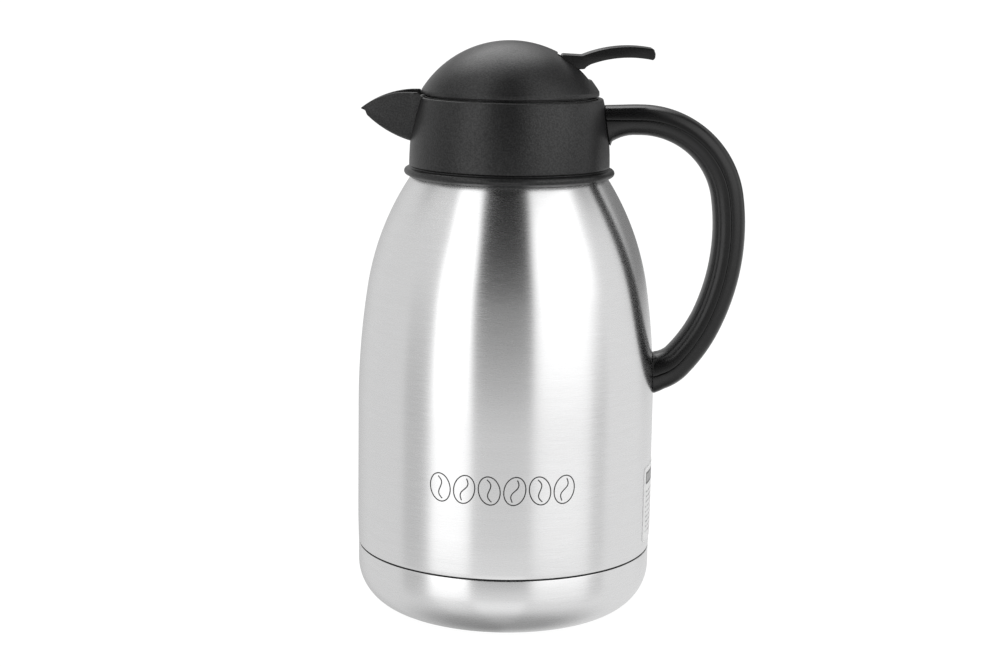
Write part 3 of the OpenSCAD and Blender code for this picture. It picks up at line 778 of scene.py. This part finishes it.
def make_handle_cover():
    """The back half of the handle, with the boss and the hole of its screw."""
    cover = handle_half("handle_cover_shell", 1, box_mm("handle_cover")[1].y)
    join(cover, rod("boss", (COVER_SCREW_X, 0, BOSS_Z), (COVER_SCREW_X, 0, HANDLE_TAB_Z), BOSS_R))
    drill(cover, "head_hole", COVER_SCREW_X, (COVER_SHANK_Z[0], COVER_HEAD_Z), SCREW_HEAD_R)
    drill(cover, "shank_hole", COVER_SCREW_X, COVER_SHANK_Z, SCREW_SHANK_R)
    return cover


def make_handle_grip():
    """The finger-side half of the handle, with the hole of its screw."""
    grip = handle_half("handle_grip_shell", -1, box_mm("handle_grip")[1].y)
    drill(grip, "head_hole", GRIP_SCREW_X, (230, GRIP_HEAD_Z), SCREW_HEAD_R)
    drill(grip, "shank_hole", GRIP_SCREW_X, GRIP_SHANK_Z, SCREW_SHANK_R)
    return grip


# Marks on the flask -------------------------------------------------------------------------------

def on_body(around, z, proud):
    """A point on the body: `around` is a distance along its surface from the -Y side."""
    r = body_r_at(z) + proud
    return (r * sin(around / BODY_R), -r * cos(around / BODY_R), z)


def etched_path(name, path, closed, width=0.56):
    """A thin raised line along a path of (around, z) points."""
    buried, proud = -0.02, 0.03
    rings = []
    count = len(path)
    for i, point in enumerate(path):
        ahead = path[(i + 1) % count] if closed or i + 1 < count else point
        back = path[i - 1] if closed or i > 0 else point
        along = (Vector(ahead) - Vector(back)).normalized()
        side = Vector((-along.y, along.x)) * width / 2
        left, right = Vector(point) + side, Vector(point) - side
        rings.append([on_body(*left, buried), on_body(*left, proud),
                      on_body(*right, proud), on_body(*right, buried)])
    return loft(name, rings, wrap=closed)


def make_beans():
    """A row of outlined coffee beans, leaning left and right by turns."""
    count, pitch, middle_x, middle_z = 6, 12.3, -1.0, 77.2
    half_width, half_height, tilt = 5.2, 7.0, radians(12)
    crease_half, crease_share = 1.3, 0.8
    outline = [(half_width * cos(a), half_height * sin(a)) for a in spread(0, 2 * pi, 72)[:-1]]
    crease = [(crease_half * sin(t * pi), t * half_height * crease_share)
              for t in spread(-1, 1, 30)]
    parts = []
    for i in range(count):
        centre = Vector((middle_x + (i - (count - 1) / 2) * pitch, middle_z))
        lean = Matrix.Rotation(-tilt if i % 2 else tilt, 2)
        for path, closed in ((outline, True), (crease, False)):
            points = [tuple(centre + lean @ Vector(p)) for p in path]
            parts.append(etched_path("bean", points, closed))
    whole = bmesh.new()
    for part in parts:
        whole.from_mesh(part.data)
        bpy.data.objects.remove(part)
    mesh = bpy.data.meshes.new("bean_marks")
    whole.to_mesh(mesh)
    whole.free()
    beans = bpy.data.objects.new("bean_marks", mesh)
    bpy.context.scene.collection.objects.link(beans)
    return beans


def make_label():
    """A film with rounded corners on the +X side of the body."""
    half_width = radians(21) * BODY_R
    corner, film, gap = 2.5, 0.2, 0.02
    ends = [half_width - corner + corner * sin(a) for a in spread(0, pi / 2, 6)]
    middle = spread(-half_width + corner, half_width - corner, 24)[1:-1]
    rings = []
    for across in [-x for x in reversed(ends)] + middle + ends:
        past = max(0.0, abs(across) - half_width + corner)
        drop = corner - sqrt(max(0.0, corner ** 2 - past ** 2))
        levels = spread(label_low.z + drop, label_high.z - drop, 12)
        outside = [(body_r_at(z) + gap + film, z) for z in levels]
        inside = [(body_r_at(z) + gap, z) for z in levels[::-1]]
        rings.append(turned(outside + inside, across / BODY_R))
    return loft("label_film", rings)


# Lid and stopper ----------------------------------------------------------------------------------

def sphere_z(radius, r):
    """Height of the dome's sphere of that radius at distance r from the axis."""
    return DOME_Z + sqrt(radius ** 2 - r ** 2)


def latitude(radius, z):
    """Angle, in degrees, at which the dome's sphere of that radius reaches a height."""
    return asin((z - DOME_Z) / radius) * 180 / pi


def on_axis(outline):
    """The outline with its points beside the axis put exactly on it."""
    return [(0 if r < 1e-9 else r, z) for r, z in outline]


def make_dome():
    """The domed cover, with the lever's slot and well, a skirt and three snap hooks."""
    inner_r, wall_r = DOME_R - DOME_WALL, DOME_RIM_R - DOME_WALL
    edge_r = sqrt(DOME_R ** 2 - (DOME_EDGE_Z - DOME_Z) ** 2)
    inner_a = latitude(inner_r, sphere_z(inner_r, wall_r))
    outline = (
        [(wall_r, DOME_RIM_Z), (DOME_RIM_R, DOME_RIM_Z), (min(edge_r, DOME_RIM_R), DOME_EDGE_Z)]
        + arc(0, DOME_Z, DOME_R, latitude(DOME_R, DOME_EDGE_Z) + 0.5, 90, 60)
        + arc(0, DOME_Z, inner_r, 90, inner_a, 50)
    )
    dome = lathe("dome_shell", soften(on_axis(outline), 0.45, 4), 256)
    # the well under the lever: a block kept inside the dome's wall
    ball_r, ball_z, cheek, clear = inner_r + 0.6, WELL_Z - 6, SLOT_HALF + 2.5, 20
    ball = on_axis(arc(0, DOME_Z, ball_r, latitude(ball_r, ball_z), 90, 40)) + [(0, ball_z)]
    well = block("well", (SLOT_X - 1, -cheek, WELL_Z), (SLOT_X + 19, cheek, WELL_Z + clear))
    keep_inside(well, lathe("ball", ball, 128))
    join(dome, well)
    skirt_out, skirt_in, skirt_z, skirt_top = 41.2, 39.2, 260.42, 266
    join(dome, lathe("skirt", [
        (skirt_in, skirt_z), (skirt_out, skirt_z), (skirt_out, skirt_top), (skirt_in, skirt_top),
    ], 192))
    hook_r, barb_r, back_r, hook_top = 36, 38.6, 37.6, 269.5
    hook = [
        (hook_r, hook_top), (hook_r, 255.2), (hook_r + 0.6, 254.4), (barb_r, 256), (barb_r, 256.8),
        (back_r, 256.8), (back_r, hook_top),
    ]
    for angle in HOOKS_A:
        join(dome, lathe_sector("hook", hook, angle - HOOK_HALF_A, angle + HOOK_HALF_A))
    for name, start_x, end_x, low_z, high_z in (
        ("well_space", SLOT_X - 2, SLOT_END, WELL_Z + 1.4, PIVOT_Z + 0.1),
        ("slot", SLOT_X, SLOT_END, PIVOT_Z, PIVOT_Z + clear),
        ("step", SLOT_END - 0.5, SLOT_END + 5, SLOT_STEP_Z, SLOT_STEP_Z + clear),
    ):
        cut(dome, block(name, (start_x, -SLOT_HALF, low_z), (end_x, SLOT_HALF, high_z)))
    cut(dome, rod("pin_hole", (PIVOT_X, -cheek, PIVOT_Z), (PIVOT_X, cheek, PIVOT_Z), PIN_R + 0.02))
    return dome


def make_lever():
    """The thumb lever with its hub, its arm and the slot that holds the valve rod."""
    outline = (
        [(24.7, 280.9), (25.4, 281.7), (35, 281.3)]
        + arc(LEVER_ARC_X, LEVER_ARC_Z, LEVER_ARC_R, 109.8, 79.6, 24)
        + [(71, 282.8), (70.9, 280.8)]
        + arc(LEVER_ARC_X, LEVER_ARC_Z, LEVER_ARC_R - LEVER_THICK, 78.8, 110.5, 24)
        + [(37.2, 275.9), (36.3, 274.8), (33, 274.6), (31, 273), (26, 271)]
    )
    arm_half, rod_half, hub_r, tip_r, reach = 5.5, 2.85, 4.2, 3, LEVER_HALF - 0.05
    lever = plate("lever_shell", soften(outline, 1.1, 5), LEVER_HALF, 0.5)
    join(lever, rod("hub", (PIVOT_X, -reach, PIVOT_Z), (PIVOT_X, reach, PIVOT_Z), hub_r))
    arm = (
        [(29, 277), (24, 277), (9, FORK_Z + 2.1)]
        + arc(0, FORK_Z, tip_r, 90, 270, 16)
        + [(10, FORK_Z - tip_r), (29, 271.4)]
    )
    join(lever, plate("arm", arm, arm_half, 0.3))
    cut(lever, block("rod_slot", (-5, -rod_half, FORK_Z - 10), (6, rod_half, FORK_Z + 10)))
    cut(lever, rod("pin_hole", (PIVOT_X, -15, PIVOT_Z), (PIVOT_X, 15, PIVOT_Z), PIN_R + 0.04))
    return lever


def make_stopper():
    """The screw stopper: plug, flange, threaded skirt, deck with its rod guide, and the ports."""
    skirt_in, skirt_out, plug_r, wall = 38.6, 41, 34.4, 2.2
    plug_z, flange_z, deck_z, deck_top = stopper_low.z, 243.1, 257, 259.2
    seat_r, guide_r, guide_out, guide_top = 9, 2.54, 5.4, stopper_high.z
    seal_r, seal_z, spring_r, spring_z = 4.35, 259.6, 4.6, 255.5
    top_r, top_in, top_z = BORE_R - 0.4, 39.1, 260.4
    groove_r, groove_z, groove_top = top_r - 0.6, 256.2, 256.8
    outline = (
        # outside, from the valve seat up: plug with its gasket rib, flange, skirt and top rim
        [(seat_r, plug_z), (plug_r - 1, plug_z), (plug_r, plug_z + 1), (plug_r, 238.2)]
        + [(plug_r + 0.5, 238.8), (plug_r, 239.4), (plug_r, flange_z), (skirt_out, flange_z)]
        + [(skirt_out, groove_z), (groove_r, groove_z), (groove_r, groove_top)]
        + [(skirt_out, groove_top), (skirt_out, deck_top), (top_r, deck_top), (top_r, top_z)]
        # inwards over the deck, then up, down and out of the rod guide
        + [(top_in, top_z), (top_in, deck_top), (guide_out, deck_top), (guide_out, guide_top)]
        + [(seal_r, guide_top), (seal_r, seal_z), (guide_r, seal_z), (guide_r, spring_z)]
        + [(spring_r, spring_z), (spring_r, deck_z)]
        # inside, back down to the valve seat
        + [(skirt_in, deck_z), (skirt_in, flange_z + wall), (plug_r - wall, flange_z + wall)]
        + [(plug_r - wall, plug_z + wall), (seat_r, plug_z + wall)]
    )
    stopper = lathe("stopper_shell", soften(outline, 0.25, 3), 256)
    for ridge in thread_ridges(skirt_out - 0.6, top_r, THREAD_Z):
        join(stopper, ridge)
    port_low, port_high = (skirt_in - 2, -2.2, 247), (skirt_in + 4, 2.2, 255)
    hook_slot = [(35.7, 256.5), (38.3, 256.5), (38.3, 259.7), (35.7, 259.7)]
    for group in HOOKS_A:
        for step in (-10, 0, 10):
            port = block("port", port_low, port_high)
            port.data.transform(Matrix.Rotation(radians(group + step), 4, "Z"))
            cut(stopper, port)
        ends = group - HOOK_SLOT_HALF_A, group + HOOK_SLOT_HALF_A
        cut(stopper, lathe_sector("hook_slot", hook_slot, *ends))
    return stopper


def make_spring():
    """The valve's spring: round wire wound in a helix."""
    wire_r, coil_r, turns, per_turn = 0.45, 5.9, 6, 48
    section = [(coil_r + wire_r * cos(b), wire_r * sin(b)) for b in spread(0, 2 * pi, 12)[:-1]]
    heights = spread(spring_low.z + wire_r, spring_high.z - wire_r, turns * per_turn)
    rings = [turned([(r, height + z) for r, z in section], 2 * pi * i / per_turn)
             for i, height in enumerate(heights)]
    return loft("valve_spring_coil", rings)


place(make_body_shell(), body_steel, "flask", "body_steel", "outer_shell")
place(make_base_cup(), body_steel, "flask", "body_steel", "base_cup")
place(make_neck_band(), matte_black, "flask", "matte_black", "neck_ring")
place(make_collar(), matte_black, "flask", "matte_black", "collar")
place(make_handle_grip(), satin_black, "flask", "satin_black", "handle_grip", sharp=50)
place(make_handle_cover(), satin_black, "flask", "satin_black", "handle_cover", sharp=50)
place(make_beans(), etched_line, "flask", "fastener_steel")
place(make_label(), label_paper, "flask", "label_paper", "label")
place(make_dome(), matte_black, "lid", "matte_black", "lid_dome")
place(make_stopper(), matte_black, "lid", "matte_black", "stopper_body")
place(make_lever(), satin_black, "lever", "satin_black", "lever")
spring = place(make_spring(), fastener_steel, "lid", "fastener_steel", "valve_spring")
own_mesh(spring)

# the CAD nodes that stay in view or inside, with their own materials; the steel flange behind the
# body's seam is painted near-black, as painted shade in the seam's gap
CAD_LOOKS = {
    "inner_flask": inner_steel, "outer_bottom": seam_painted_shade, "vacuum_seal": seal_solder,
    "getter": getter_metal, "collar_seal": silicone, "handle_bracket": body_steel,
    "handle_screws": fastener_steel, "stopper_gasket": silicone, "upper_seal": silicone,
    "lever_pin": fastener_steel, "valve_rod": fastener_steel, "valve_plug": pale_plastic,
    "valve_seal": silicone, "rod_seal": silicone,
}
for node, material in CAD_LOOKS.items():
    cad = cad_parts[node]
    cad.data.materials.clear()
    cad.data.materials.append(material)


# Studio -------------------------------------------------------------------------------------------

WHITE = 1.15                   # brightness the camera sees on the floor and behind it


def camera_ray(tree):
    """1 for what the camera sees directly, 0 in reflections and bounced light."""
    return add_node(tree, "ShaderNodeLightPath").outputs["Is Camera Ray"]


def make_floor():
    """A pale floor, brightened for the camera only and left out of reflections."""
    reach, tone, share = 30000, 0.86, 0.8
    corners = [(-reach, -reach, 0), (reach, -reach, 0), (reach, reach, 0), (-reach, reach, 0)]
    floor = mesh_object("floor", corners, [(0, 1, 2, 3)])
    material = bpy.data.materials.new("floor")
    material.use_nodes = True
    tree = material.node_tree
    tree.nodes.clear()
    white = add_node(tree, "ShaderNodeBsdfDiffuse", {"Color": (tone, tone, tone, 1)})
    glow = add_node(tree, "ShaderNodeEmission", {"Color": (1, 1, 1, 1), "Strength": WHITE})
    seen = product(tree, camera_ray(tree), share)
    shaders = {0: seen, 1: white.outputs[0], 2: glow.outputs[0]}
    mixed = add_node(tree, "ShaderNodeMixShader", shaders)
    output = add_node(tree, "ShaderNodeOutputMaterial")
    tree.links.new(mixed.outputs[0], output.inputs["Surface"])
    floor.data.materials.append(material)
    floor.visible_glossy = False


def room_light(tree, azimuth, height):
    """The pale room round the soft boxes, with its darker strips and corners."""
    strips = product(
        tree,
        total(tree, band(tree, azimuth, -84, -64, 6), band(tree, azimuth, 70, 84, 6)),
        ramp(tree, height, -24, -13, 0.1, 1.0),
        ramp(tree, height, -6, 4, -0.28, 0.0),
    )
    walls = total(tree, ramp(tree, azimuth, -20, 20, 0.82, 0.92), strips)
    high_right = product(tree, ramp(tree, azimuth, 92, 108),
                         ramp(tree, height, 22, 44, 0.0, 0.85))
    high_left = product(tree, ramp(tree, azimuth, -100, -116),
                        ramp(tree, height, 22, 44, 0.0, 0.75))
    low_back = product(tree, ramp(tree, azimuth, 122, 138), ramp(tree, height, -9, -4),
                       ramp(tree, height, 30, 15, 0.0, 0.72))
    dim = calc(tree, "MAXIMUM", total(tree, high_right, high_left), low_back)
    return product(tree, walls, ramp(tree, azimuth, -172, -130, 0.8, 1.0),
                   calc(tree, "SUBTRACT", 1.0, dim))


def box_light(tree, lean, inner, height):
    """The two soft boxes: lean gives their outer edges and inner their edges at the gap."""
    left = product(
        tree, ramp(tree, inner, -23, -29), ramp(tree, lean, -61.5, -55.5),
        ramp(tree, height, -24, -7, 0.12, 1.0), ramp(tree, height, 40, 64, 1.0, 0.5),
    )
    outer = total(tree, lean, ramp(tree, height, -8, 10, 14.0, 0.0))
    right = product(
        tree, ramp(tree, inner, 18, 30), ramp(tree, outer, 88, 72),
        ramp(tree, height, -25, 14, 0.0, 0.8), ramp(tree, height, 38, 60, 1.0, 0.1),
    )
    return total(tree, left, right)


def gap_light(tree, height):
    """The dark gap between the boxes: a glow that fades upwards, and the table's light below."""
    glow, fade_height, table, darkest = 0.36, 14.0, 0.8, 0.008
    above = calc(tree, "MAXIMUM", height, 0.0)
    fade = calc(tree, "EXPONENT", calc(tree, "DIVIDE", above, -fade_height))
    return total(tree, product(tree, fade, glow), ramp(tree, height, -30, 6, table, 0.0), darkest)


def back_light(tree, direction):
    """A round light high behind the carafe, for the dome."""
    azimuth, height, edge, core, strength = radians(-167), radians(57), radians(33), radians(8), 3.0
    towards = (sin(azimuth) * cos(height), -cos(azimuth) * cos(height), sin(height))
    ends = {0: direction, 1: towards}
    facing = add_node(tree, "ShaderNodeVectorMath", ends, operation="DOT_PRODUCT").outputs["Value"]
    return product(tree, ramp(tree, facing, cos(edge), cos(core)), strength)


def make_world():
    """A dark gap in front between two soft boxes, a pale room and a light high at the back.

    Azimuth and height are degrees, seen from the carafe: azimuth 0 is towards the camera and
    positive values are on the right.
    """
    world = bpy.data.worlds.new("studio")
    bpy.context.scene.world = world
    world.use_nodes = True
    tree = world.node_tree
    tree.nodes.clear()
    to_degrees = 180 / pi
    direction = add_node(tree, "ShaderNodeTexCoord").outputs["Generated"]
    x, y, z = add_node(tree, "ShaderNodeSeparateXYZ", {0: direction}).outputs
    azimuth = product(tree, calc(tree, "ARCTAN2", x, product(tree, y, -1.0)), to_degrees)
    height = product(tree, calc(tree, "ARCSINE", z), to_degrees)
    # the boxes lean apart as they rise, and their inner edges close in below the horizon
    lean = product(tree, azimuth, ramp(tree, height, 30, 62, 1.0, 0.64))
    inner = product(tree, lean, ramp(tree, height, -16, 4, 1.12, 1.0))
    lit = total(tree, room_light(tree, azimuth, height), box_light(tree, lean, inner, height))
    front = mix(tree, band(tree, inner, -27, 21, 5), lit, gap_light(tree, height))
    ceiling, floor_share = 0.12, 0.4
    upper = mix(tree, ramp(tree, height, 70, 82), front, ceiling)
    lower = product(tree, upper, ramp(tree, height, -72, -40, floor_share, 1.0))
    strength = total(tree, lower, back_light(tree, direction))
    shown = mix(tree, camera_ray(tree), strength, WHITE)
    background = add_node(tree, "ShaderNodeBackground", {"Strength": shown})
    output = add_node(tree, "ShaderNodeOutputWorld")
    tree.links.new(background.outputs[0], output.inputs["Surface"])


def make_camera():
    """At the photograph's viewing angle: level with the lid, looking a little down."""
    distance, height, pitch, pan, roll = 1.02474, 0.32943, 0.18268, 0.0033, 0.01564
    focal, sensor = 73.76, 36
    data = bpy.data.cameras.new("camera")
    data.lens, data.sensor_width = focal, sensor
    data.clip_start, data.clip_end = 0.05, 100
    camera = bpy.data.objects.new("camera", data)
    bpy.context.scene.collection.objects.link(camera)
    camera.matrix_world = (
        Matrix.Translation((0, -distance, height)) @ Matrix.Rotation(pan, 4, "Z")
        @ Matrix.Rotation(pi / 2 - pitch, 4, "X") @ Matrix.Rotation(roll, 4, "Z")
    )
    bpy.context.scene.camera = camera


make_floor()
make_world()
make_camera()
bpy.context.scene.view_settings.view_transform = "Standard"

bpy.context.view_layer.update()
